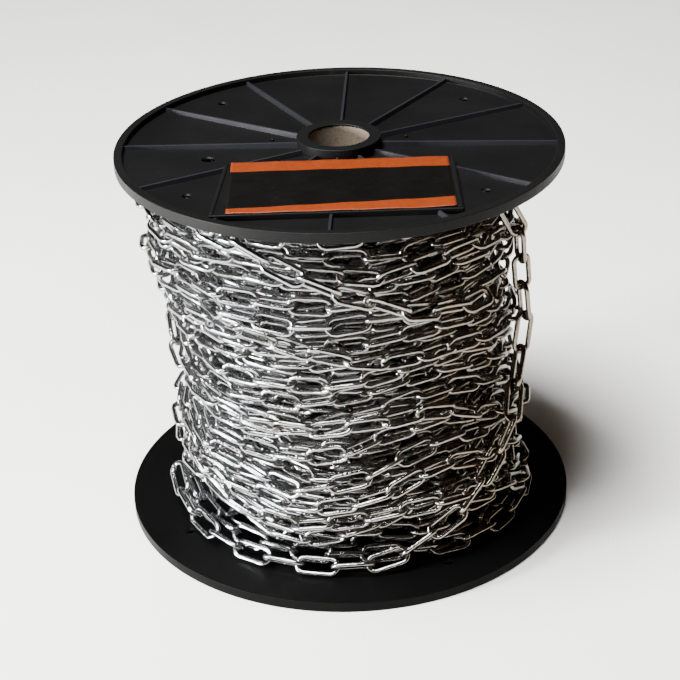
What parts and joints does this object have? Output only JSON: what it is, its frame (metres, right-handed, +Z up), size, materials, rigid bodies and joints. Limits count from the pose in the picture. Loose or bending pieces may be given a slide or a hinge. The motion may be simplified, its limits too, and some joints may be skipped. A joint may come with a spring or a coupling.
{
  "type": "reel of steel chain",
  "caption": "Zinc-plated long-link steel chain wound on a black plastic reel that stands on its lower flange.",
  "frame": {"origin": "on the floor under the reel's axis, in the plane of the lower flange's rim", "axes": "+Z up along the reel's axis, towards the flange that carries the label; -Y towards the label's near edge"},
  "size_m": [0.454, 0.454, 0.392],
  "materials": {
    "moulded_black_plastic": "moulded, fine texture",
    "zinc_plated_steel": "bright zinc plate",
    "kraft_board": "spiral-wound paper board",
    "printed_label_film": "printed film, semi-gloss"
  },
  "bodies": {
    "root": {"top_flange": "moulded_black_plastic", "bottom_flange": "moulded_black_plastic", "core_tube": "kraft_board", "label": "printed_label_film", "chain_winding": "zinc_plated_steel", "last_turn_link_01": "zinc_plated_steel", "last_turn_link_02": "zinc_plated_steel", "last_turn_link_03": "zinc_plated_steel", "last_turn_link_04": "zinc_plated_steel", "last_turn_link_05": "zinc_plated_steel", "last_turn_link_06": "zinc_plated_steel", "last_turn_link_07": "zinc_plated_steel", "last_turn_link_08": "zinc_plated_steel", "last_turn_link_09": "zinc_plated_steel", "last_turn_link_10": "zinc_plated_steel", "last_turn_link_11": "zinc_plated_steel", "last_turn_link_12": "zinc_plated_steel", "last_turn_link_13": "zinc_plated_steel", "last_turn_link_14": "zinc_plated_steel", "last_turn_link_15": "zinc_plated_steel", "last_turn_link_16": "zinc_plated_steel", "last_turn_link_17": "zinc_plated_steel", "last_turn_link_18": "zinc_plated_steel", "last_turn_link_19": "zinc_plated_steel", "last_turn_link_20": "zinc_plated_steel"}
  },
  "joints": []
}
